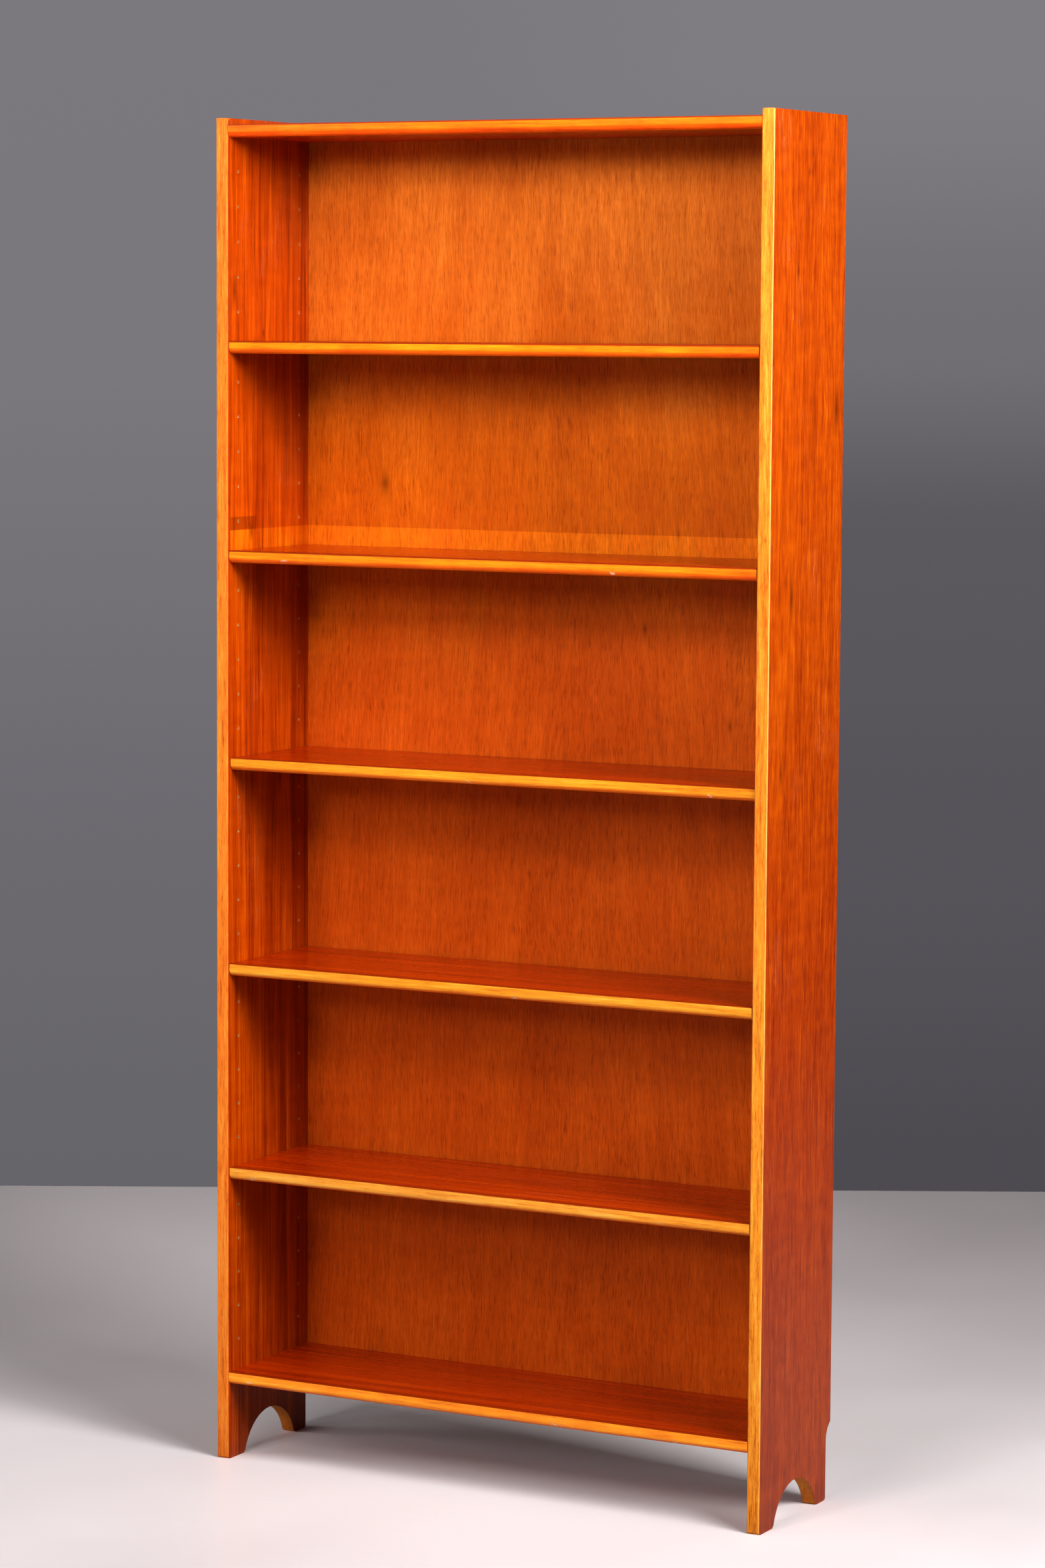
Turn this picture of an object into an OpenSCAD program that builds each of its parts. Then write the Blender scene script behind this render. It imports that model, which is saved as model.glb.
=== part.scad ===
// Tall bookcase: two side panels with arched feet, a fixed top board, a fixed
// bottom shelf, a thin back panel and five shelves that hang on hidden bent wires
// pushed into two columns of holes in each side panel.
// Millimetres, +Z up. Origin on the floor under the middle of the footprint.
// The open front faces -Y and the back panel faces the wall at +Y.

/* [Carcass] */
// Overall width over both side panels
width = 880; // [600:10:1100]
// Overall height of the side panels
height = 1950; // [1850:10:2200]
// Overall depth from the front of the lippings to the rear edges of the side panels
depth = 234; // [222:1:320]
// Thickness of each side panel
panel_t = 20; // [18:0.5:25]
// Thickness of every board: top board, bottom shelf and adjustable shelves
board_t = 18; // [16:0.5:22]
// Depth of the solid lipping on the front edge of each side panel
lip_d = 6; // [3:0.5:10]
// Corner radius along both front edges of the lipping
lip_r = 2.5; // [1:0.25:3]
// Distance from the tops of the side panels down to the upper face of the top board
top_drop = 9; // [0:0.5:20]
// Height of the upper face of the fixed bottom shelf above the floor
base_top = 130; // [115:1:150]

/* [Shelf boards] */
// Depth of the solid nosing glued to the front of every board
nosing_d = 12; // [10:0.5:16]
// Radius of the rounded lower front edge of the nosing
nosing_r = 8.5; // [3:0.5:10]
// Free gap between each end of an adjustable shelf and the side panel
end_gap = 1; // [0.5:0.1:3]
// How far the adjustable shelves stand behind the front of the side panels
shelf_recess = 1.5; // [0.5:0.1:3]
// How much further back the middle shelf is pushed, up to its stop
middle_push = 3.5; // [1:0.1:6]
// Gap left behind a shelf that is pushed right back
rear_gap = 1; // [0.5:0.1:3]

/* [Support holes] */
// Diameter of the support holes
hole_d = 3.5; // [3:0.1:5]
// Depth of the support holes
hole_deep = 12; // [9:0.5:14]
// Distance of the front column of holes from the front
hole_front = 28; // [26:1:50]
// Spacing between the front and rear columns of holes
hole_span = 170; // [120:1:175]
// Vertical pitch of the rows of holes
row_pitch = 50; // [25:5:60]
// Distance from the tops of the side panels down to the first row of holes
row_start = 75; // [60:1:120]
// Number of hole rows from one adjustable shelf to the next
rows_per_shelf = 6; // [4:1:6]

/* [Support wires] */
// Diameter of the support wire
wire_d = 3.4; // [2.9:0.1:3.4]
// Length of wire that stands in each hole
wire_in = 10.5; // [6:0.5:10.5]
// Distance of the long run of wire from the face of the side panel
wire_out = 6; // [5:0.5:9]
// Centreline radius of the two bends in each wire
wire_bend = 4; // [3:0.25:4.5]
// Height of the kerf sawn into the shelf ends
kerf_h = 3.5; // [3.5:0.1:5]
// Depth of the kerf sawn into the shelf ends
kerf_deep = 8.5; // [8.5:0.5:14]

/* [Back panel] */
// Thickness of the back panel
back_t = 5; // [3:0.5:7]
// Depth of the rear rebate in the side panels that takes the back panel
rebate_d = 9; // [8:0.5:12]
// Width of the rear rebate in the side panels
rebate_w = 8; // [7:0.5:12]
// Free play at each side edge of the back panel
back_play = 0.5; // [0.2:0.1:1]

/* [Feet] */
// Radius of the arched cut between the front and rear foot
arch_r = 73; // [60:1:80]
// Depth of the arch centre below the floor
arch_drop = 19; // [10:1:30]
// Distance of the arch centre from the front
arch_y = 116; // [100:1:120]
// Depth of the rear cut that clears a skirting board
notch_d = 14.5; // [8:0.5:20]
// Height of the straight part of the rear cut
notch_h = 85.5; // [60:0.5:90]
// Radius of the curved upper end of the rear cut
notch_r = 30.5; // [20:0.5:32]
// Chamfer on the lower corners of the feet
foot_cut = 3; // [1:0.5:5]

/* [Fixings] */
// Diameter of the dowels that hold the top board and the bottom shelf
dowel_d = 8; // [6:1:10]
// Length of the dowels
dowel_l = 30; // [24:1:30]
// Depth of the dowel holes in the side panels
dowel_in = 12; // [10:0.5:14]
// Diameter of the panel pins in the back panel
pin_d = 1.6; // [1.2:0.1:2]
// Length of the panel pins under the head
pin_l = 20; // [16:1:25]
// Number of panel pins up each side of the back panel
pins_up = 12; // [8:1:16]
// Number of panel pins along the top and along the bottom of the back panel
pins_across = 6; // [4:1:8]

/* [Hidden] */
$fn = 48;
fit = 0.05;
inner_x = width / 2 - panel_t;
front_y = -depth / 2;
back_y = depth / 2 - rebate_d;
top_top = height - top_drop;
top_under = top_top - board_t;
base_under = base_top - board_t;
row_top = height - row_start;
row_count = floor((row_top - base_top - 40) / row_pitch) + 1;
shelf_count = 5;
shelf_l = 2 * (inner_x - end_gap);
shelf_d = depth - rebate_d - rear_gap - shelf_recess - middle_push;
kerf_front = hole_front - wire_d / 2 - 0.1 - shelf_recess - middle_push;
wire_r = wire_d / 2;
dowel_play = 1;
dowel_ys = [-0.36 * depth, -0.02 * depth, 0.32 * depth];
pin_low = base_under + 60;
pin_step = (top_under - 40 - pin_low) / (pins_up - 1);
pin_side_x = inner_x + rebate_w / 2;
pin_across_x = inner_x - 60;
head_t = 0.8;
veneer = [0.62, 0.24, 0.09];
lipping = [0.80, 0.56, 0.28];
nosing_wood = [0.70, 0.36, 0.14];
ply = [0.66, 0.34, 0.15];
steel = [0.72, 0.72, 0.74];
beech = [0.80, 0.66, 0.46];

// Height of the hole row that carries shelf n, counted from the top
function shelf_z(n) = row_top - row_pitch * (rows_per_shelf * n - 1);

// Distance of the front of shelf n from the front of the side panels
function shelf_in(n) = n == 3 ? shelf_recess + middle_push : shelf_recess;

// Height of panel pin i up the side of the back panel
function pin_z(i) = pin_low + pin_step * i;

// Sideways place of panel pin i along the top or bottom of the back panel
function pin_x(i) = -pin_across_x + 2 * pin_across_x * i / (pins_across - 1);

// Turns a flat shape drawn as (from front, up) into a solid that runs along X
module along_x(len) {
  rotate([90, 0, 90]) linear_extrude(len) children();
}

// Small square set on its point that chamfers a foot corner at distance u
module foot_corner(u) {
  translate([u, 0]) rotate(45) square(foot_cut * sqrt(2), center = true);
}

// Outline of a side panel seen from the side, with arch and skirting cut
module side_outline() {
  half = sqrt(arch_r * arch_r - arch_drop * arch_drop);
  difference() {
    square([depth, height]);
    translate([arch_y, -arch_drop]) circle(arch_r, $fn = 120);
    translate([depth - notch_d, -1]) square([notch_d + 1, notch_h + 1]);
    translate([depth - notch_d + notch_r, notch_h]) circle(notch_r, $fn = 96);
    foot_corner(0);
    foot_corner(arch_y - half);
    foot_corner(arch_y + half);
    foot_corner(depth - notch_d);
  }
}

// Sockets for the dowels of one fixed board, at height z, cut into the left panel
module panel_dowel_sockets(z) {
  for (y = dowel_ys) {
    translate([-inner_x + 1, y, z]) rotate([0, -90, 0])
      cylinder(d = dowel_d + 2 * fit, h = dowel_in + 1, $fn = 32);
  }
}

// All support holes of the left panel
module support_holes() {
  for (r = [0 : row_count - 1]) {
    for (c = [0 : 1]) {
      translate([-inner_x + 1, front_y + hole_front + c * hole_span, row_top - r * row_pitch])
        rotate([0, -90, 0]) cylinder(d = hole_d, h = hole_deep + 1, $fn = 16);
    }
  }
}

// Panel pin shaft, head on the +Y side, its head seat at y = back_y + back_t
module pin_shaft(x, z, grow) {
  translate([x, back_y + back_t, z]) rotate([90, 0, 0])
    cylinder(d = pin_d + 2 * grow, h = pin_l + grow, $fn = 16);
}

// Places of every panel pin, given to the child as shafts grown by a clearance
module all_pins(grow) {
  for (i = [0 : pins_up - 1]) {
    pin_shaft(-pin_side_x, pin_z(i), grow);
    pin_shaft(pin_side_x, pin_z(i), grow);
  }
  for (i = [0 : pins_across - 1]) {
    pin_shaft(pin_x(i), top_top - board_t / 2, grow);
    pin_shaft(pin_x(i), base_top - board_t / 2, grow);
  }
}

// Left side panel without its lipping
module side_panel() {
  color(veneer)
  difference() {
    translate([-width / 2, front_y, 0]) along_x(panel_t) intersection() {
      side_outline();
      translate([lip_d, -1]) square([depth, height + 2]);
    }
    translate([-inner_x - rebate_w, back_y, base_under]) cube([rebate_w + 1, rebate_d + 1, height]);
    support_holes();
    panel_dowel_sockets(top_top - board_t / 2);
    panel_dowel_sockets(base_top - board_t / 2);
    for (i = [0 : pins_up - 1]) {
      pin_shaft(-pin_side_x, pin_z(i), fit);
    }
  }
}

// Left solid lipping, rounded along both front edges and at its upper corners
module front_lipping() {
  color(lipping)
  intersection() {
    translate([-width / 2, front_y, 0]) along_x(panel_t) intersection() {
      side_outline();
      translate([-1, -1]) square([lip_d + 1, height + 2]);
    }
    translate([-width / 2, front_y, -1]) linear_extrude(height + 2) union() {
      translate([lip_r, 0]) square([panel_t - 2 * lip_r, lip_d]);
      translate([0, lip_r]) square([panel_t, lip_d - lip_r]);
      translate([lip_r, lip_r]) circle(lip_r, $fn = 32);
      translate([panel_t - lip_r, lip_r]) circle(lip_r, $fn = 32);
    }
    translate([-width / 2, depth / 2, 0]) rotate([90, 0, 0]) linear_extrude(depth) union() {
      square([panel_t, height - 4]);
      translate([2, 0]) square([panel_t - 6, height]);
      translate([2, height - 2]) circle(2, $fn = 32);
      translate([0, height - 4]) square([2, 2]);
      translate([panel_t - 4, height - 4]) circle(4, $fn = 32);
    }
  }
}

// Cross-section of a nosing: flat face, sharp upper edge, rounded lower edge
module nosing_section() {
  difference() {
    square([nosing_d, board_t]);
    difference() {
      translate([-1, -1]) square(nosing_r + 1);
      translate([nosing_r, nosing_r]) circle(nosing_r, $fn = 64);
    }
  }
}

// Nosing of a board, len long, its front inset from the front, its top at z
module nosing(len, inset, z) {
  color(nosing_wood)
  translate([-len / 2, front_y + inset, z - board_t]) along_x(len) nosing_section();
}

// Fixed board between the side panels with its top at z, without its nosing
module fixed_board(z) {
  color(veneer)
  difference() {
    translate([-inner_x, front_y + nosing_d, z - board_t])
      cube([2 * inner_x, back_y - front_y - nosing_d, board_t]);
    for (y = dowel_ys, side = [-1, 1]) {
      translate([side * (inner_x + 1), y, z - board_t / 2]) rotate([0, -90 * side, 0])
        cylinder(d = dowel_d + 2 * fit, h = dowel_l - dowel_in + 2 * dowel_play + 1, $fn = 32);
    }
    for (i = [0 : pins_across - 1]) {
      pin_shaft(pin_x(i), z - board_t / 2, fit);
    }
  }
}

// The six dowels of one fixed board whose top is at z
module board_dowels(z) {
  color(beech)
  for (y = dowel_ys, side = [-1, 1]) {
    translate([side * (inner_x + dowel_in - dowel_play), y, z - board_t / 2])
      rotate([0, -90 * side, 0]) cylinder(d = dowel_d, h = dowel_l, $fn = 32);
  }
}

// Thin back panel from the underside of the bottom shelf to the top board
module back_panel() {
  half = inner_x + rebate_w - back_play;
  color(ply)
  difference() {
    translate([-half, back_y, base_under]) cube([2 * half, back_t, top_top - base_under]);
    all_pins(fit);
  }
}

// Panel pins with flat round heads that lie on the back panel
module back_panel_pins() {
  color(steel)
  union() {
    all_pins(0);
    for (i = [0 : pins_up - 1], side = [-1, 1]) {
      pin_head(side * pin_side_x, pin_z(i));
    }
    for (i = [0 : pins_across - 1]) {
      pin_head(pin_x(i), top_top - board_t / 2);
      pin_head(pin_x(i), base_top - board_t / 2);
    }
  }
}

// Head of one panel pin
module pin_head(x, z) {
  translate([x, back_y + back_t + head_t, z]) rotate([90, 0, 0])
    cylinder(d = 2.2 * pin_d, h = head_t, $fn = 16);
}

// Adjustable shelf n without its nosing, kerfed at both ends for the wires
module shelf_board(n) {
  z = shelf_z(n);
  front = front_y + shelf_in(n);
  color(veneer)
  difference() {
    translate([-shelf_l / 2, front + nosing_d, z - board_t / 2])
      cube([shelf_l, shelf_d - nosing_d, board_t]);
    for (side = [-1, 1]) {
      translate([side * (shelf_l / 2 - kerf_deep / 2 + 0.5), front + kerf_front + depth / 2, z])
        cube([kerf_deep + 1, depth, kerf_h], center = true);
    }
  }
}

// Nosing of adjustable shelf n
module shelf_nosing(n) {
  nosing(shelf_l, shelf_in(n), shelf_z(n) + board_t / 2);
}

// Support wire at the left end of shelf n: two legs in the holes and a long run
module left_wire(n) {
  y1 = front_y + hole_front;
  y2 = y1 + hole_span;
  xc = -inner_x + wire_out - wire_bend;
  leg = xc + inner_x + wire_in;
  color(steel)
  translate([0, 0, shelf_z(n)])
  union() {
    translate([xc, y1, 0]) rotate([0, -90, 0]) cylinder(r = wire_r, h = leg, $fn = 24);
    translate([xc, y2, 0]) rotate([0, -90, 0]) cylinder(r = wire_r, h = leg, $fn = 24);
    translate([xc, y1 + wire_bend, 0]) rotate([0, 0, -90])
      rotate_extrude(angle = 90, $fn = 24) translate([wire_bend, 0]) circle(wire_r);
    translate([xc, y2 - wire_bend, 0])
      rotate_extrude(angle = 90, $fn = 24) translate([wire_bend, 0]) circle(wire_r);
    translate([xc + wire_bend, y2 - wire_bend, 0]) rotate([90, 0, 0])
      cylinder(r = wire_r, h = hole_span - 2 * wire_bend, $fn = 24);
  }
}

side_panel();  // left_side_panel
mirror([1, 0, 0]) side_panel();  // right_side_panel
front_lipping();  // left_front_lipping
mirror([1, 0, 0]) front_lipping();  // right_front_lipping
fixed_board(top_top);  // top_board
nosing(2 * inner_x, 0, top_top);  // top_board_nosing
fixed_board(base_top);  // bottom_shelf
nosing(2 * inner_x, 0, base_top);  // bottom_shelf_nosing
back_panel();
board_dowels(top_top);  // top_board_dowels
board_dowels(base_top);  // bottom_shelf_dowels
back_panel_pins();
shelf_board(1);  // shelf_1_board
shelf_nosing(1);  // shelf_1_nosing
left_wire(1);  // shelf_1_left_wire
mirror([1, 0, 0]) left_wire(1);  // shelf_1_right_wire
shelf_board(2);  // shelf_2_board
shelf_nosing(2);  // shelf_2_nosing
left_wire(2);  // shelf_2_left_wire
mirror([1, 0, 0]) left_wire(2);  // shelf_2_right_wire
shelf_board(3);  // shelf_3_board
shelf_nosing(3);  // shelf_3_nosing
left_wire(3);  // shelf_3_left_wire
mirror([1, 0, 0]) left_wire(3);  // shelf_3_right_wire
shelf_board(4);  // shelf_4_board
shelf_nosing(4);  // shelf_4_nosing
left_wire(4);  // shelf_4_left_wire
mirror([1, 0, 0]) left_wire(4);  // shelf_4_right_wire
shelf_board(5);  // shelf_5_board
shelf_nosing(5);  // shelf_5_nosing
left_wire(5);  // shelf_5_left_wire
mirror([1, 0, 0]) left_wire(5);  // shelf_5_right_wire
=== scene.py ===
"""Bookcase with five adjustable shelves: looks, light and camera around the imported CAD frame."""
import bpy
import math
from mathutils import Matrix, Vector


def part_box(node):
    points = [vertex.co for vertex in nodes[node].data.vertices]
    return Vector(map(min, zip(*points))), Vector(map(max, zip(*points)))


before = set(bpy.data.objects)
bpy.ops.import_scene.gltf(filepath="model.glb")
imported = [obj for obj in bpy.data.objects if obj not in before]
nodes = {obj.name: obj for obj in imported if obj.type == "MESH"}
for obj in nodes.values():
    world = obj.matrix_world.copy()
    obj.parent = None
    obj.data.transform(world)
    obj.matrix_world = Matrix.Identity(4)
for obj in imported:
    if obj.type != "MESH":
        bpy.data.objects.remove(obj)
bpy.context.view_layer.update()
scene = bpy.context.scene
scene.view_settings.view_transform = "Standard"
scene.view_settings.look = "None"


# ---------------------------------------------------------------- node helpers
class Tree:
    """One procedural material: its node tree, its shader and the object's own coordinates in metres."""

    def __init__(self, name):
        self.mat = bpy.data.materials.new(name)
        self.mat.use_nodes = True
        self.t = self.mat.node_tree
        self.t.nodes.clear()
        out = self.t.nodes.new("ShaderNodeOutputMaterial")
        self.bsdf = self.t.nodes.new("ShaderNodeBsdfPrincipled")
        self.t.links.new(self.bsdf.outputs[0], out.inputs[0])
        coord = self.t.nodes.new("ShaderNodeTexCoord")
        self.p = coord.outputs["Object"]
        s = self.t.nodes.new("ShaderNodeSeparateXYZ")
        self.t.links.new(self.p, s.inputs[0])
        self.x, self.y, self.z = s.outputs

    def put(self, socket, v):
        if isinstance(v, bpy.types.NodeSocket):
            self.t.links.new(v, socket)
        elif isinstance(v, (tuple, list)) and socket.type == "RGBA" and len(v) == 3:
            socket.default_value = (*v, 1)
        else:
            socket.default_value = v

    def m(self, op, a, b=0.0):
        n = self.t.nodes.new("ShaderNodeMath")
        n.operation = op
        for s, v in zip(n.inputs, (a, b)):
            self.put(s, v)
        return n.outputs[0]

    def add(self, a, b):
        return self.m("ADD", a, b)

    def sub(self, a, b):
        return self.m("SUBTRACT", a, b)

    def mul(self, a, b):
        return self.m("MULTIPLY", a, b)

    def vec(self, x, y, z):
        n = self.t.nodes.new("ShaderNodeCombineXYZ")
        for s, v in zip(n.inputs, (x, y, z)):
            self.put(s, v)
        return n.outputs[0]

    def noise(self, v, scale=1.0, detail=2.0, rough=0.5, warp=0.0):
        n = self.t.nodes.new("ShaderNodeTexNoise")
        self.put(n.inputs["Vector"], v)
        n.inputs["Scale"].default_value = scale
        n.inputs["Detail"].default_value = detail
        n.inputs["Roughness"].default_value = rough
        n.inputs["Distortion"].default_value = warp
        return n.outputs["Fac"]

    def step(self, v, lo, hi, a=0.0, b=1.0):
        """Smooth change from a at lo to b at hi."""
        n = self.t.nodes.new("ShaderNodeMapRange")
        n.interpolation_type = "SMOOTHSTEP"
        n.clamp = True
        for s, k in zip(n.inputs[:5], (v, lo, hi, a, b)):
            self.put(s, k)
        return n.outputs[0]

    def ramp(self, fac, stops, mode="LINEAR"):
        n = self.t.nodes.new("ShaderNodeValToRGB")
        n.color_ramp.interpolation = mode
        e = n.color_ramp.elements
        while len(e) < len(stops):
            e.new(0.5)
        for k, (pos, col) in zip(e, stops):
            k.position, k.color = pos, (*col, 1)
        self.put(n.inputs[0], fac)
        return n.outputs[0]

    def mix(self, fac, a, b, mode="MIX"):
        n = self.t.nodes.new("ShaderNodeMix")
        n.data_type, n.blend_type = "RGBA", mode
        n.clamp_factor = True
        self.put(n.inputs[0], fac)
        self.put(n.inputs[6], a)
        self.put(n.inputs[7], b)
        return n.outputs[2]

    def lerp(self, fac, a, b):
        n = self.t.nodes.new("ShaderNodeMix")
        n.data_type = "FLOAT"
        self.put(n.inputs[0], fac)
        self.put(n.inputs[2], a)
        self.put(n.inputs[3], b)
        return n.outputs[0]

    def bump(self, height, strength, distance):
        n = self.t.nodes.new("ShaderNodeBump")
        n.inputs["Strength"].default_value = strength
        n.inputs["Distance"].default_value = distance
        self.put(n.inputs["Height"], height)
        self.t.links.new(n.outputs[0], self.bsdf.inputs["Normal"])

    def output(self):
        return next(n for n in self.t.nodes if n.type == "OUTPUT_MATERIAL")

    def blend_output(self, fac, a, b):
        """Send a mix of two shaders to the material's output."""
        n = self.t.nodes.new("ShaderNodeMixShader")
        self.put(n.inputs[0], fac)
        self.t.links.new(a, n.inputs[1])
        self.t.links.new(b, n.inputs[2])
        self.t.links.new(n.outputs[0], self.output().inputs[0])

    def surface(self, color, rough, coat=0.0, coat_rough=0.1, metal=0.0, spec=0.5, tint=(1, 1, 1)):
        self.put(self.bsdf.inputs["Base Color"], color)
        self.put(self.bsdf.inputs["Roughness"], rough)
        self.bsdf.inputs["Metallic"].default_value = metal
        self.bsdf.inputs["Coat Weight"].default_value = coat
        self.bsdf.inputs["Coat Roughness"].default_value = coat_rough
        self.bsdf.inputs["Specular IOR Level"].default_value = spec
        self.bsdf.inputs["Specular Tint"].default_value = (*tint, 1)
        self.bsdf.inputs["IOR"].default_value = 1.5


def near(t, v, value, reach, soft=0.0002):
    """1 where coordinate v lies within reach of value, else 0."""
    d = t.m("ABSOLUTE", t.sub(v, value))
    return t.step(d, reach + soft, reach - soft)


def knot(t, u, v, u0, v0, ru, rv):
    """Bend of the grain, dark heart and paler tail of a pointed knot figure at u0, v0.

    Its half length is ru along the grain and its half width rv across it.
    """
    du = t.m("DIVIDE", t.sub(u, u0), ru)
    dv = t.m("DIVIDE", t.sub(v, v0), rv)
    r = t.add(t.m("POWER", t.m("ABSOLUTE", du), 1.3), t.mul(dv, dv))
    bend = t.mul(t.mul(t.m("EXPONENT", t.mul(r, -1.3)), dv), rv * 1.1)
    r2 = t.add(t.m("POWER", t.m("ABSOLUTE", t.mul(du, 3.6)), 1.5), t.mul(t.mul(dv, dv), 11.0))
    heart = t.m("EXPONENT", t.mul(r2, -1.6))
    r3 = t.add(t.mul(du, du), t.mul(t.mul(dv, dv), 9.0))
    tail = t.m("EXPONENT", t.mul(r3, -2.2))
    return bend, heart, tail


# wood palettes: four colours from the darkest grain to the lightest
VENEER = ((0.14, 0.0075, 0.0002), (0.28, 0.0225, 0.0002), (0.39, 0.039, 0.0003), (0.54, 0.077, 0.0010))
BOARD = ((0.17, 0.0070, 0.0001), (0.36, 0.0190, 0.0001), (0.51, 0.031, 0.0001), (0.67, 0.060, 0.0003))
PLY = ((0.26, 0.030, 0.0006), (0.47, 0.069, 0.0012), (0.61, 0.101, 0.0020), (0.76, 0.158, 0.0050))
HONEY = ((0.50, 0.082, 0.0040), (0.88, 0.200, 0.0120), (0.96, 0.262, 0.0180), (1.00, 0.390, 0.0400))
AMBER = ((0.58, 0.095, 0.0022), (0.90, 0.200, 0.0036), (0.97, 0.265, 0.0060), (1.00, 0.370, 0.0144))
RAW_PLY = ((0.26, 0.11, 0.040), (0.46, 0.23, 0.095), (0.58, 0.31, 0.140), (0.72, 0.43, 0.21))
BEECH = ((0.42, 0.26, 0.12), (0.56, 0.38, 0.20), (0.66, 0.48, 0.28), (0.76, 0.60, 0.38))

# layers of grain: frequency along the grain, frequency across it, strength
RIBBON = ((0.8, 9.0, 0.34), (1.6, 70.0, 0.62), (3.5, 210.0, 0.66), (9.0, 460.0, 0.50), (26.0, 950.0, 0.34))
SLICED = ((0.9, 6.0, 0.34), (2.4, 38.0, 0.14), (9.0, 180.0, 0.20), (20.0, 420.0, 0.40), (48.0, 850.0, 0.55))
PLAIN = ((0.8, 9.0, 0.30), (1.8, 60.0, 0.26), (5.0, 200.0, 0.40), (18.0, 430.0, 0.70), (40.0, 850.0, 0.80))
FIGURED = ((0.8, 9.0, 0.40), (1.6, 70.0, 0.84), (3.5, 210.0, 0.92), (9.0, 460.0, 0.70), (26.0, 950.0, 0.5))
OPEN = ((3.0, 50.0, 0.50), (12.0, 250.0, 0.90), (40.0, 520.0, 1.00), (150.0, 1200.0, 0.50))
STRIP = ((3.0, 70.0, 0.55), (7.0, 260.0, 0.70), (18.0, 480.0, 0.70), (45.0, 1200.0, 0.40))
MID_TONE = 0.52     # tone of a wood before its layers of grain are added
LAYER_GAIN = 1.5    # how far a layer of strength 1 moves the tone


def wood(t, u, v, w, seed, colours, layers, pores=0.35, wander=0.02, knots=(), cross=0.0):
    """Colour, height and tone of a wood surface.

    u runs along the grain, v across it and w into it, in metres.
    """
    su, sv = seed * 3.71, seed * 1.93
    u0, v0 = u, v
    u = t.add(u, su)
    drift = t.sub(t.noise(t.vec(t.mul(u, 1.5), t.mul(v, 3.0), sv), 1.0, 2.0), 0.5)
    v = t.add(v, t.mul(drift, wander))
    heart = tail = None
    for ku, kv, ru, rv in knots:
        bend, dark, long = knot(t, u0, v0, ku, kv, ru, rv)
        v = t.add(v, bend)
        heart = dark if heart is None else t.add(heart, dark)
        tail = long if tail is None else t.add(tail, long)
    v = t.add(v, sv)
    tone, first = MID_TONE, True
    for fu, fv, strength in layers:
        n = t.noise(t.vec(t.mul(u, fu), t.mul(v, fv), sv if first else t.mul(w, fv * 0.6)), 1.0, 2.0, 0.6)
        tone, first = t.add(tone, t.mul(t.sub(n, 0.5), strength * LAYER_GAIN)), False
    fine = n
    if cross:
        ripple = t.noise(t.vec(t.mul(u, 55.0), t.mul(v, 22.0), sv), 1.0, 2.0)
        tone = t.add(tone, t.mul(t.sub(ripple, 0.5), cross))
    pore = t.step(t.noise(t.vec(t.mul(u, 60.0), t.mul(v, 1400.0), t.mul(w, 1400)), 1.0, 1.0), 0.58, 0.70)
    dash = t.step(t.noise(t.vec(t.mul(u, 38.0), t.mul(v, 520.0), t.mul(w, 520)), 1.0, 1.0), 0.60, 0.72)
    tone = t.sub(tone, t.mul(t.add(pore, t.mul(dash, 0.8)), pores))
    if tail is not None:
        tone = t.add(tone, t.mul(tail, 0.16))
    col = t.ramp(tone, [(0.0, colours[0]), (0.36, colours[1]), (0.66, colours[2]), (1.0, colours[3])])
    if heart is not None:
        col = t.mix(t.mul(heart, 0.8), col, [c * 0.55 for c in colours[0]])
    height = t.sub(t.add(t.mul(fine, 0.5), t.mul(tone, 0.2)), t.mul(pore, 0.6))
    return col, height, tone


def chipboard(t, seed):
    """Pale pressed-chip core that shows in holes, kerfs and raw edges."""
    big = t.noise(t.vec(t.mul(t.x, 420), t.mul(t.y, 420), t.add(t.mul(t.z, 420), seed)), 1.0, 3.0, 0.7)
    small = t.noise(t.vec(t.mul(t.x, 1700), t.mul(t.y, 1700), t.mul(t.z, 1700)), 1.0, 1.0)
    f = t.add(t.mul(big, 0.7), t.mul(small, 0.3))
    return t.ramp(f, [(0.25, (0.22, 0.11, 0.035)), (0.5, (0.50, 0.30, 0.12)), (0.75, (0.72, 0.50, 0.25))])


def scratches(t, u, v, seed):
    """Sparse hair scratches, mostly along u."""
    n = t.noise(t.vec(t.mul(u, 9.0), t.mul(v, 240.0), seed), 1.0, 2.0, 0.5, 0.4)
    gate = t.noise(t.vec(t.mul(u, 7.0), t.mul(v, 9.0), seed + 4.0), 1.0, 1.0)
    line = t.step(t.m("ABSOLUTE", t.sub(n, 0.5)), 0.006, 0.0)
    return t.mul(line, t.step(gate, 0.58, 0.66))


def drift_line(t):
    """Slow sideways wander of a line that runs up the panel."""
    return t.sub(t.noise(t.vec(t.mul(t.z, 3.0), 0.0, 0.0), 1.0, 2.0), 0.5)


def hole_rim_chips_and_glints(t, columns, inner):
    """Thin pale rims round the support holes: chipped finish, and a painted highlight where the holes' edges
    catch the light.
    """
    row = t.m("PINGPONG", t.sub(t.z, TOP_ROW), ROW_PITCH / 2)
    ring = None
    for y in columns:
        d = t.m("SQRT", t.add(t.m("POWER", t.sub(t.y, y), 2.0), t.mul(row, row)))
        d = t.add(d, t.mul(t.sub(t.noise(t.vec(t.mul(t.y, 400), t.mul(t.z, 400), 0.0)), 0.5), 0.0012))
        one = t.step(d, 0.0025, 0.0020)
        ring = one if ring is None else t.m("MAXIMUM", ring, one)
    rows = t.mul(t.step(t.z, TOP_ROW + 0.012, TOP_ROW + 0.011), t.step(t.z, 0.163, 0.164))
    return t.mul(t.mul(ring, rows), near(t, t.x, inner, 0.0009))


def lo_hi(name):
    lo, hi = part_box(name)
    return [float(a) for a in lo], [float(a) for a in hi]


def assign(name, t):
    o = nodes[name]
    o.data.materials.clear()
    o.data.materials.append(t.mat)


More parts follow.
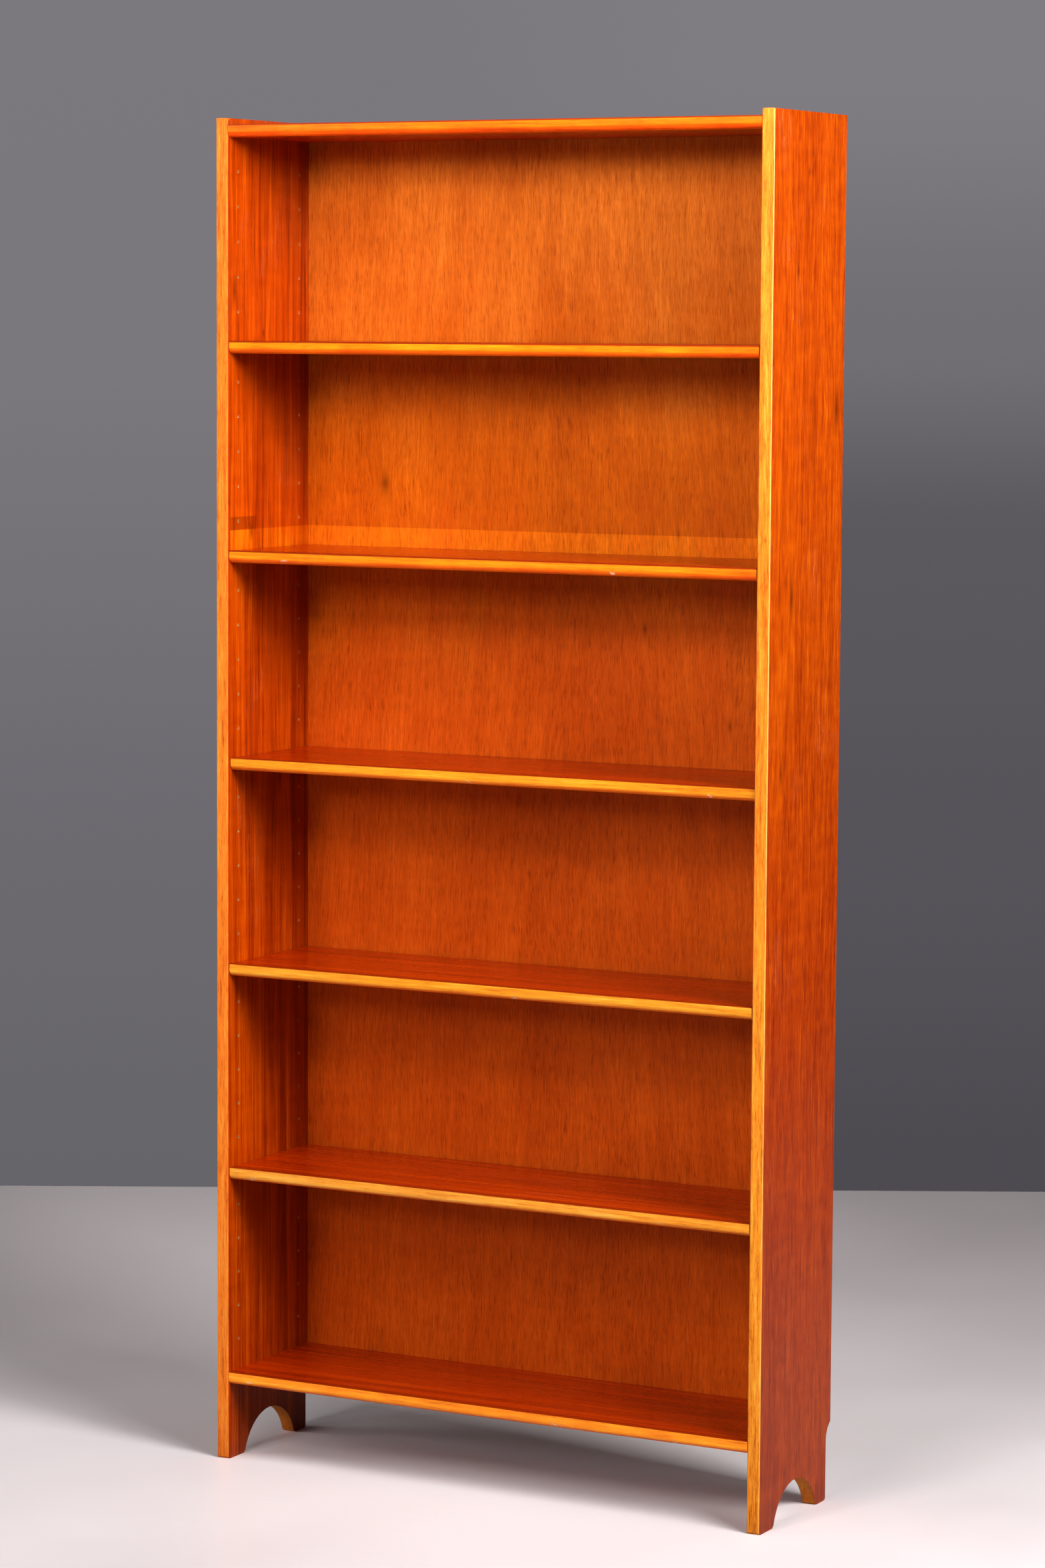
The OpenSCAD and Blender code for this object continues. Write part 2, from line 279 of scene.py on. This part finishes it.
def face_veneer(t, side, knots=()):
    """The side panel's own veneer, which also shows on both edges of its lipping."""
    return wood(t, t.z, t.y, t.x, *PANEL_VENEER[side], pores=0.16, wander=0.018, knots=knots, cross=0.34)


def board_veneer(t, seed):
    """The shelf board's own veneer, which also shows as a line on top of its nosing."""
    return wood(t, t.x, t.y, t.z, seed, BOARD, RIBBON, pores=0.18, wander=0.02, cross=0.15)


WARM = (1.0, 0.42, 0.10)        # amber lacquer warms what the surface mirrors
GRIME = (0.55, 0.45, 0.40)      # factor for dirt low on the feet
FACE = 0.0007                   # thickness of the face veneers
TOP_ROW, ROW_PITCH = 1.875, 0.05    # height of the top row of support holes, and from row to row
HOLE_COLUMNS = (0.022, 0.192)   # the two columns of holes, from the panel's front edge
SHELVES = range(1, 6)

# ---------------------------------------------------------------- side panels
# seed, palette and grain of each panel's face veneer
PANEL_VENEER = {"left": (1.3, VENEER, FIGURED), "right": (2.6, VENEER, PLAIN)}
# place up the panel and across it, half length and half width
PANEL_KNOTS = {
    "left": ((1.706, -0.099, 0.11, 0.020), (1.358, -0.053, 0.07, 0.018), (1.645, -0.020, 0.05, 0.014),
             (0.994, 0.027, 0.08, 0.020)),
    "right": ((1.545, 0.094, 0.14, 0.040), (1.290, -0.047, 0.15, 0.024), (1.735, -0.037, 0.07, 0.016),
              (1.868, -0.004, 0.035, 0.010), (1.05, -0.075, 0.08, 0.016)),
}
shelf_2_top = lo_hi("shelf_2_board")[1][2]
for side, sign in (("left", -1), ("right", 1)):
    lo, hi = lo_hi(side + "_side_panel")
    inner, outer = (hi[0], lo[0]) if side == "left" else (lo[0], hi[0])
    t = Tree(side + "_panel_veneer")
    col, height, _ = face_veneer(t, side, PANEL_KNOTS[side])
    if side == "left":
        # paler strip once shaded by shelf 2 on a higher row, and the dark print of that shelf's end
        strip = t.mul(t.step(t.z, shelf_2_top + 0.0290, shelf_2_top + 0.0275),
                      t.step(t.z, shelf_2_top - 0.002, shelf_2_top))
        mark = t.mul(t.step(t.z, shelf_2_top + 0.0275, shelf_2_top + 0.0290),
                     t.step(t.z, shelf_2_top + 0.0480, shelf_2_top + 0.0465))
        ragged = t.add(t.y, t.mul(t.noise(t.vec(t.mul(t.z, 60), t.mul(t.y, 60), 0.0), 1.0, 2.0), 0.02))
        mark = t.mul(mark, t.step(ragged, -0.022, -0.040))
        # these marks are on the inner face only
        within = near(t, t.x, inner, 0.002)
        # a second leaf of veneer, darker and redder, behind the seam, and a pale band in front of it
        leaf = t.step(t.add(t.y, t.mul(drift_line(t), 0.004)), 0.0595, 0.0605)
        pale = t.mul(t.step(t.y, -0.086, -0.080), t.step(t.y, -0.054, -0.060))
        for mask, amount, factor in ((strip, 0.9, (1.36, 2.1, 2.0)), (mark, 0.8, (0.50, 0.42, 0.5)),
                                     (leaf, 0.6, (0.80, 0.70, 0.8)), (pale, 0.45, (1.25, 1.45, 1.5))):
            col = t.mix(t.mul(t.mul(mask, amount), within), col, factor, "MULTIPLY")
    else:
        # the right panel is yellower above and redder below
        lean = t.mix(t.step(t.z, 1.25, 0.70), (0.98, 1.20, 1.0), (1.02, 1.00, 0.7))
        col = t.mix(1.0, col, lean, "MULTIPLY")
    core = chipboard(t, 3.0 * sign)
    skin = t.m("MAXIMUM", near(t, t.x, inner, FACE), near(t, t.x, outer, FACE))
    # the rear edge and the tops of the panels are edged with veneer as well
    edge = t.m("MAXIMUM", near(t, t.y, hi[1], FACE), near(t, t.z, hi[2], FACE))
    skin = t.m("MAXIMUM", skin, edge)
    # the sawn soffit of the arch shows sanded, lacquered solid wood
    sawn = t.mul(t.step(t.z, 0.114, 0.112), near(t, t.x, 0.43 * sign, 0.0094, 0.0003))
    foot_col, _, _ = wood(t, t.add(t.z, t.mul(t.x, 3.0)), t.y, t.x, 7.7, HONEY, STRIP, pores=0.2)
    core = t.mix(sawn, core, t.mix(0.35, foot_col, (0.42, 0.12, 0.02)))
    col = t.mix(skin, core, col)
    # pale rims round the holes: chipped finish and a painted highlight on the lit hole edges
    rim_chips_and_glints = hole_rim_chips_and_glints(t, [lo[1] + y for y in HOLE_COLUMNS], inner)
    col = t.mix(t.mul(rim_chips_and_glints, 0.45), col, (0.80, 0.42, 0.16))
    wear = scratches(t, t.z, t.y, 5.0 + sign)
    col = t.mix(t.mul(wear, 0.22), col, (1.0, 0.55, 0.25))
    # grime and rubbed lacquer low on the feet
    low = t.step(t.z, 0.05, 0.0)
    col = t.mix(t.mul(low, 0.35), col, GRIME, "MULTIPLY")
    rough = t.add(t.step(height, -0.4, 0.6, 0.36, 0.28), t.mul(wear, 0.12))
    rough = t.lerp(skin, 0.7, rough)
    t.surface(col, rough, coat=0.10, coat_rough=0.14, spec=0.4, tint=WARM)
    t.bump(height, 0.10, 0.0006)
    assign(side + "_side_panel", t)

    # lipping: light solid wood between the two face veneers
    front = lo_hi(side + "_front_lipping")[0][1]
    t = Tree(side + "_lipping_wood")
    col, height, tone = wood(t, t.z, t.x, t.y, 4.4 + sign, HONEY, OPEN, pores=0.30, wander=0.006, cross=0.1,
                             knots=((1.372, 0.432, 0.030, 0.010),) if side == "right" else ())
    vcol, _, _ = face_veneer(t, side)
    skin = t.m("MAXIMUM", near(t, t.x, inner, FACE), near(t, t.x, outer, FACE))
    col = t.mix(skin, col, vcol)
    if side == "left":
        col = t.mix(1.0, col, (0.95, 0.80, 0.9), "MULTIPLY")
    else:
        col = t.mix(t.step(t.z, 1.0, 0.6), col, (1.0, 1.22, 1.2), "MULTIPLY")
    # handling dirt at reach height
    hand = t.mul(t.step(t.z, 0.7, 1.1), t.step(t.z, 1.7, 1.3))
    dirt = t.step(t.noise(t.vec(t.mul(t.z, 14), t.mul(t.x, 90), 2.0 * sign), 1.0, 3.0, 0.7), 0.56, 0.80)
    col = t.mix(t.mul(t.mul(dirt, hand), 0.30), col, (0.62, 0.40, 0.25), "MULTIPLY")
    # a painted highlight along the outer front arris, where its rounding catches the light, and both edges have
    # small dark nicks
    arris_highlight = t.mul(near(t, t.x, outer, 0.0012, 0.0003), t.step(t.y, front + 0.0009, front + 0.0006))
    col = t.mix(t.mul(arris_highlight, 0.65), col, (1.0, 0.66, 0.26))
    nick = t.step(t.noise(t.vec(t.mul(t.z, 45), t.mul(t.x, 260), t.mul(t.y, 260)), 1.0, 1.0), 0.74, 0.80)
    rim = t.m("MAXIMUM", t.step(t.m("ABSOLUTE", t.sub(t.x, inner)), 0.0022, 0.0008),
              t.step(t.m("ABSOLUTE", t.sub(t.x, outer)), 0.0022, 0.0008))
    col = t.mix(t.mul(t.mul(nick, rim), 0.8), col, (0.30, 0.10, 0.03))
    low = t.step(t.z, 0.05, 0.0)
    col = t.mix(t.mul(low, 0.35), col, GRIME, "MULTIPLY")
    t.surface(col, t.step(tone, 0.2, 0.9, 0.42, 0.30), coat=0.10, coat_rough=0.2, spec=0.4, tint=WARM)
    t.bump(height, 0.12, 0.0006)
    assign(side + "_front_lipping", t)

# ---------------------------------------------------------------- boards and nosings
# The lists below have one entry for each front strip, in the order top, bottom, shelves 1 to 5.
# colour factor where the strip's tone shifts
NOSING_RED = ((0.90, 0.62, 0.4), (0.92, 0.80, 0.9), (0.86, 0.52, 0.3), (0.88, 0.60, 0.5), (0.95, 0.95, 1.2),
              (0.95, 1.00, 1.3), (0.95, 1.05, 1.6))
# colour factor of the whole strip
NOSING_GAIN = ((1.0, 0.76, 0.4), (1.30, 1.55, 3.8), (1.0, 1.02, 0.6), (1.0, 1.02, 1.0), (1.0, 1.28, 2.4),
               (1.0, 1.34, 3.2), (1.08, 1.50, 5.5))
# height of the painted shade in the lower rounding, which faces down
NOSING_SHADE_HEIGHT = (0.0068, 0.0036, 0.0068, 0.0066, 0.0052, 0.0042, 0.0036)
# depth of the red line that the board's face veneer leaves along the top arris
NOSING_LINE = (0.0020, 0.0007, 0.0024, 0.0020, 0.0012, 0.0009, 0.0007)
# pale chips on the lower arris of each front strip, the one at -0.33 on shelf 2 a painted sheen: place along it
# and half width
NOSING_CHIPS_AND_SHEEN = ((), ((0.125, 0.016), (-0.385, 0.009), (0.31, 0.006)), (), ((-0.33, 0.010), (0.20, 0.005)),
                ((-0.03, 0.010), (0.35, 0.005)), ((0.05, 0.006),), ((-0.38, 0.008), (0.28, 0.005)))
boards = [("top_board", "top_board_nosing"), ("bottom_shelf", "bottom_shelf_nosing")]
boards += [(f"shelf_{i}_board", f"shelf_{i}_nosing") for i in SHELVES]
for i, (board, nosing) in enumerate(boards):
    lo, hi = lo_hi(board)
    nlo, nhi = lo_hi(nosing)
    seed = 11.0 + 1.7 * i

    t = Tree(board + "_veneer")
    col, height, _ = board_veneer(t, seed)
    core = chipboard(t, seed)
    skin = t.m("MAXIMUM", near(t, t.z, hi[2], FACE), near(t, t.z, lo[2], FACE))
    col = t.mix(skin, core, col)
    wear = scratches(t, t.x, t.y, seed)
    col = t.mix(t.mul(wear, 0.18), col, (0.9, 0.5, 0.22))
    rough = t.lerp(skin, 0.75, t.add(t.step(height, -0.4, 0.6, 0.32, 0.24), t.mul(wear, 0.12)))
    t.surface(col, rough, coat=0.14, coat_rough=0.09, spec=0.4, tint=WARM)
    t.bump(height, 0.08, 0.0006)
    assign(board, t)

    t = Tree(nosing + "_wood")
    col, height, tone = wood(t, t.x, t.z, t.y, seed + 0.6, AMBER, STRIP, pores=0.22, wander=0.004,
                             cross=0.2)
    # the strip is one length, but its tone shifts along it
    shift = t.noise(t.vec(t.mul(t.x, 6.0), seed, 0.0), 1.0, 3.0, 0.6)
    col = t.mix(t.step(shift, 0.36, 0.64, 0.0, 0.8), col, NOSING_RED[i], "MULTIPLY")
    vcol, _, _ = board_veneer(t, seed)
    col = t.mix(1.0, col, NOSING_GAIN[i], "MULTIPLY")
    edge = nhi[2] - NOSING_LINE[i]
    line = t.step(t.z, edge - 0.0005, edge + 0.0005)
    # painted shade in the lower rounding, which faces down, with a few pale chips on its arris, one of them a
    # painted sheen
    under_shade = t.step(t.z, nlo[2] + NOSING_SHADE_HEIGHT[i] + 0.0020, nlo[2] + NOSING_SHADE_HEIGHT[i] - 0.0016)
    col = t.mix(t.mul(under_shade, 0.85), col, (0.86, 0.38, 0.40), "MULTIPLY")
    ragged = t.noise(t.vec(t.mul(t.x, 130), t.mul(t.z, 260), t.mul(t.y, 260)), 1.0, 3.0, 0.6)
    for place, half in NOSING_CHIPS_AND_SHEEN[i]:
        reach = t.step(t.m("ABSOLUTE", t.sub(t.x, place)), half, half * 0.3)
        low = t.mul(t.step(t.z, nlo[2] + 0.0078, nlo[2] + 0.0060),
                    t.step(t.z, nlo[2] + 0.0008, nlo[2] + 0.0022))
        col = t.mix(t.mul(t.mul(reach, low), t.step(ragged, 0.50, 0.58, 0.0, 0.6)), col, (1.0, 0.74, 0.50))
    col = t.mix(line, col, t.mix(0.8, vcol, (0.26, 0.014, 0.0003)))
    t.surface(col, t.step(tone, 0.2, 0.9, 0.40, 0.28), coat=0.12, coat_rough=0.16, spec=0.4, tint=WARM)
    t.bump(height, 0.10, 0.0005)
    assign(nosing, t)

# ---------------------------------------------------------------- back panel
PLY_LAYER = 0.00167     # thickness of one ply of the three
PLY_EDGE = 0.0006       # how far in from an edge the plies show
BACK_KNOTS = ((1.427, -0.289, 0.085, 0.030), (1.228, 0.139, 0.055, 0.015), (1.095, 0.275, 0.05, 0.013))
lo, hi = lo_hi("back_panel")
t = Tree("back_plywood")
col, height, tone = wood(t, t.z, t.x, t.y, 21.0, PLY, SLICED, pores=0.34, wander=0.06, cross=0.25,
                         knots=BACK_KNOTS)
# broad cathedral figure of the sliced veneer
arch = t.add(t.mul(t.m("POWER", t.m("ABSOLUTE", t.sub(t.x, 0.06)), 1.5), 2.2), t.mul(t.z, 0.16))
arch = t.add(arch, t.mul(t.noise(t.vec(t.mul(t.x, 6), t.mul(t.z, 1.4), 3.0), 1.0, 3.0, 0.5), 0.10))
veins = t.noise(t.vec(t.mul(arch, 95.0), t.mul(t.z, 1.5), 4.0), 1.0, 3.0, 0.65)
col = t.mix(t.step(veins, 0.38, 0.60, 0.26, 0.0), col, (0.66, 0.50, 0.36), "MULTIPLY")
mottle = t.noise(t.vec(t.mul(t.x, 9.0), t.mul(t.z, 4.0), 9.0), 1.0, 4.0, 0.6)
col = t.mix(t.step(mottle, 0.40, 0.66, 0.0, 0.6), col, (1.14, 1.32, 1.35), "MULTIPLY")
# painted light: the back is darker and redder in the lower bays and paler in the upper ones, for the light that
# falls more on the upper bays
light_falloff_height = t.add(t.z, t.mul(t.sub(mottle, 0.5), 0.5))
col = t.mix(t.step(light_falloff_height, 1.42, 1.12), col, (1.03, 0.80, 1.8), "MULTIPLY")
col = t.mix(t.step(light_falloff_height, 1.45, 1.75), col, (1.06, 1.28, 4.5), "MULTIPLY")
# the paler strip above shelf 2 runs on across the back
strip = t.mul(t.step(t.z, shelf_2_top + 0.0292, shelf_2_top + 0.0276),
              t.step(t.z, shelf_2_top - 0.004, shelf_2_top - 0.002))
col = t.mix(strip, col, (1.36, 1.62, 1.30), "MULTIPLY")
# raw plywood behind, and the plies along its edges
raw = t.step(t.y, hi[1] - 0.0004, hi[1] - 0.0002)
rcol, _, _ = wood(t, t.z, t.x, t.y, 31.0, RAW_PLY, SLICED, pores=0.4, wander=0.07)
ply = t.step(t.m("FRACT", t.mul(t.sub(t.y, lo[1]), 1.0 / PLY_LAYER)), 0.35, 0.65)
edge_mask = t.m("MAXIMUM",
                t.m("MAXIMUM", near(t, t.x, lo[0], PLY_EDGE), near(t, t.x, hi[0], PLY_EDGE)),
                t.m("MAXIMUM", near(t, t.z, lo[2], PLY_EDGE), near(t, t.z, hi[2], PLY_EDGE)))
col = t.mix(raw, col, rcol)
col = t.mix(edge_mask, col, t.mix(ply, (0.40, 0.22, 0.10), (0.62, 0.42, 0.22)))
t.surface(col, t.lerp(raw, t.step(tone, 0.2, 0.9, 0.52, 0.42), 0.72), spec=0.3, tint=WARM)
t.bump(height, 0.16, 0.0006)
assign("back_panel", t)

# ---------------------------------------------------------------- dowels, pins, wires
t = Tree("dowel_beech")
col, height, _ = wood(t, t.x, t.y, t.z, 41.0, BEECH, STRIP, pores=0.2)
t.surface(col, 0.6)
t.bump(height, 0.2, 0.0004)
assign("top_board_dowels", t)
assign("bottom_shelf_dowels", t)

t = Tree("pin_steel")
spots = t.noise(t.vec(t.mul(t.x, 900), t.mul(t.y, 900), t.mul(t.z, 900)), 1.0, 3.0, 0.6)
t.surface(t.ramp(spots, [(0.35, (0.16, 0.12, 0.09)), (0.6, (0.48, 0.47, 0.46))]),
          t.step(spots, 0.3, 0.7, 0.55, 0.3), metal=1.0)
t.bump(spots, 0.2, 0.0003)
assign("back_panel_pins", t)

t = Tree("wire_zinc")
drawn = t.noise(t.vec(t.mul(t.x, 700), t.mul(t.y, 25), t.mul(t.z, 1600)), 1.0, 3.0, 0.6)
blotch = t.noise(t.vec(t.mul(t.x, 120), t.mul(t.y, 90), t.mul(t.z, 120)), 1.0, 2.0, 0.6)
t.surface(t.ramp(t.add(t.mul(drawn, 0.5), t.mul(blotch, 0.5)),
                 [(0.3, (0.30, 0.30, 0.30)), (0.55, (0.55, 0.55, 0.56)), (0.75, (0.72, 0.72, 0.73))]),
          t.step(drawn, 0.3, 0.7, 0.42, 0.24), metal=1.0)
t.bump(drawn, 0.15, 0.0002)
for i in SHELVES:
    assign(f"shelf_{i}_left_wire", t)
    assign(f"shelf_{i}_right_wire", t)

# ---------------------------------------------------------------- camera, at the photo's viewing angle
yaw, pitch, roll = math.radians(28.151), math.radians(-5.833), math.radians(0.339)
fwd = Vector((-math.sin(yaw) * math.cos(pitch), math.cos(yaw) * math.cos(pitch), math.sin(pitch)))
right = Vector((math.cos(yaw), math.sin(yaw), 0))
up = right.cross(fwd)
r2 = right * math.cos(roll) + up * math.sin(roll)
u2 = up * math.cos(roll) - right * math.sin(roll)
cam = bpy.data.objects.new("Camera", bpy.data.cameras.new("Camera"))
scene.collection.objects.link(cam)
cam_at = Vector((3.02645, -5.65552, 1.66372))
cam.matrix_world = Matrix(((r2.x, u2.x, -fwd.x, cam_at.x), (r2.y, u2.y, -fwd.y, cam_at.y),
                           (r2.z, u2.z, -fwd.z, cam_at.z), (0, 0, 0, 1)))
cam.data.lens = 103.9
cam.data.sensor_width = 36
cam.data.clip_start, cam.data.clip_end = 0.05, 200
scene.camera = cam

# ---------------------------------------------------------------- floor, background, light
ROOM = (0.200, 0.193, 0.210)    # the studio's grey, where nothing else is seen
STAGE = 60.0                    # half width of the floor and of the wall
WALL_AT, WALL_TOP = 2.19, 30.0  # distance of the wall behind the bookcase, and its height
ahead = Vector((-math.sin(yaw), math.cos(yaw)))


def flat(name, corners):
    """A flat rectangle, for the floor and the wall."""
    mesh = bpy.data.meshes.new(name)
    mesh.from_pydata(corners, [], [(0, 1, 2, 3)])
    obj = bpy.data.objects.new(name, mesh)
    scene.collection.objects.link(obj)
    return obj


floor = flat("floor", [(-STAGE, -STAGE, 0), (STAGE, -STAGE, 0), (STAGE, STAGE, 0), (-STAGE, STAGE, 0)])
t = Tree("floor_pale")
beyond = t.add(t.mul(t.x, ahead.x), t.mul(t.y, ahead.y))
cloud = t.noise(t.vec(t.mul(t.x, 1.5), t.mul(t.y, 1.5), 0.0), 1.0, 3.0, 0.55)
eye_ray = t.t.nodes.new("ShaderNodeLightPath").outputs["Is Camera Ray"]
base = t.mix(t.step(cloud, 0.3, 0.7), (1.03, 0.94, 0.95), (1.09, 1.00, 1.01))
base = t.mix(t.step(beyond, 0.1, 1.7), base, (1.00, 0.90, 0.92))
scuff = t.noise(t.vec(t.mul(t.x, 5.0), t.mul(t.y, 60.0), 2.0), 1.0, 3.0, 0.6, 0.8)
scuff = t.mul(t.step(t.m("ABSOLUTE", t.sub(scuff, 0.5)), 0.010, 0.0), t.step(cloud, 0.46, 0.60))
base = t.mix(t.mul(scuff, 0.25), base, (1.25, 1.22, 1.22))
# paler to the camera than to the light that bounces off it
base = t.mix(eye_ray, (0.42, 0.41, 0.41), base)
t.surface(base, t.step(cloud, 0.3, 0.7, 0.34, 0.46), spec=0.35)
# the floor fades into the studio's grey far from the bookcase
haze = t.t.nodes.new("ShaderNodeEmission")
haze.inputs[0].default_value = (*ROOM, 1)
far = t.m("SQRT", t.add(t.mul(t.x, t.x), t.mul(t.y, t.y)))
t.blend_output(t.step(far, 3.2, 8.0), t.bsdf.outputs[0], haze.outputs[0])
floor.data.materials.append(t.mat)

# a plain grey wall, seen from its front only, so that views from behind look through it
wall = flat("wall", [(-STAGE, 0, 0), (STAGE, 0, 0), (STAGE, 0, WALL_TOP), (-STAGE, 0, WALL_TOP)])
wall.matrix_world = Matrix.Translation((ahead.x * WALL_AT, ahead.y * WALL_AT, 0)) @ Matrix.Rotation(yaw, 4, "Z")
t = Tree("wall_grey")
# its grey from the floor up, to the left of the bookcase and, dimmer with a painted shadow of the bookcase, to
# the right of it
shade = t.step(t.x, -0.25, 0.45)
rise = t.mul(t.z, 0.4)
left = t.ramp(rise, [(0.0, (0.132, 0.129, 0.140)), (0.30, (0.153, 0.147, 0.164)),
                     (0.62, (0.194, 0.187, 0.204)), (1.0, (0.200, 0.193, 0.210))])
painted_shadow_grey = t.ramp(rise, [(0.0, (0.074, 0.070, 0.081)), (0.25, (0.092, 0.087, 0.100)),
                    (0.50, (0.104, 0.099, 0.112)), (0.66, (0.168, 0.160, 0.176)),
                    (0.86, (0.212, 0.205, 0.222))], "EASE")
glow = t.t.nodes.new("ShaderNodeEmission")
seen = t.t.nodes.new("ShaderNodeLightPath").outputs["Is Camera Ray"]
t.put(glow.inputs[0], t.mix(shade, left, painted_shadow_grey))
# it lights the room less than it shows
t.put(glow.inputs[1], t.step(seen, 0.0, 1.0, 0.14, 1.0))
clear = t.t.nodes.new("ShaderNodeBsdfTransparent")
behind = t.t.nodes.new("ShaderNodeNewGeometry").outputs["Backfacing"]
t.blend_output(behind, glow.outputs[0], clear.outputs[0])
wall.data.materials.append(t.mat)

world = bpy.data.worlds.new("studio")
scene.world = world
world.use_nodes = True
wt = world.node_tree
seen = wt.nodes.new("ShaderNodeLightPath").outputs["Is Camera Ray"]
room = wt.nodes.new("ShaderNodeMix")
room.data_type = "RGBA"
wt.links.new(seen, room.inputs[0])
room.inputs[6].default_value = (0.01, 0.01, 0.01, 1)
room.inputs[7].default_value = (*ROOM, 1)
wt.links.new(room.outputs[2], wt.nodes["Background"].inputs[0])


def softbox(name, loc, aim, size_x, size_y, power, spread=180.0):
    """A white rectangular light, with its power in watts and its spread in degrees."""
    d = bpy.data.lights.new(name, "AREA")
    d.shape, d.size, d.size_y = "RECTANGLE", size_x, size_y
    d.energy, d.spread = power, math.radians(spread)
    o = bpy.data.objects.new(name, d)
    scene.collection.objects.link(o)
    o.location = loc
    o.rotation_euler = (Vector(aim) - Vector(loc)).to_track_quat("-Z", "Y").to_euler()
    return o


def at(azimuth, distance, height):
    """A place round the bookcase: azimuth in degrees to the right of its front."""
    return distance * math.sin(math.radians(azimuth)), -distance * math.cos(math.radians(azimuth)), height


softbox("front_far", at(-10, 7.0, 2.9), (0, 0, 1.0), 1.2, 1.0, 104)
softbox("front_near", at(0, 3.2, 2.6), (0, 0, 1.2), 1.2, 0.8, 21)
softbox("front_top", at(0, 2.3, 2.45), (0, 0, 1.8), 0.9, 0.5, 5.5, 75)
softbox("right_near", at(60, 3.4, 2.6), (0, 0, 1.2), 0.9, 0.9, 55)
softbox("right_side", at(75, 3.0, 2.6), (0, 0, 1.2), 0.9, 0.9, 88)
softbox("right_top", at(70, 3.1, 2.5), (0, 0, 1.8), 0.7, 0.7, 12, 60)
softbox("right_low", at(85, 3.0, 1.2), (0, 0, 0.8), 0.9, 0.9, 14)
softbox("front_low", at(6, 5.5, 1.5), (0, 0, 0.45), 0.8, 0.4, 0.5, 34)
softbox("left_fill", at(-40, 4.5, 2.6), (0, 0, 1.1), 1.5, 1.0, 20)
softbox("left_low", at(-70, 3.0, 0.8), (0, 0, 0.5), 1.0, 1.2, 9, 120)
softbox("rear_fill", (-0.25, 2.0, 1.55), (-0.1, 0.1, 1.45), 0.8, 0.8, 2.4, 62).visible_camera = False
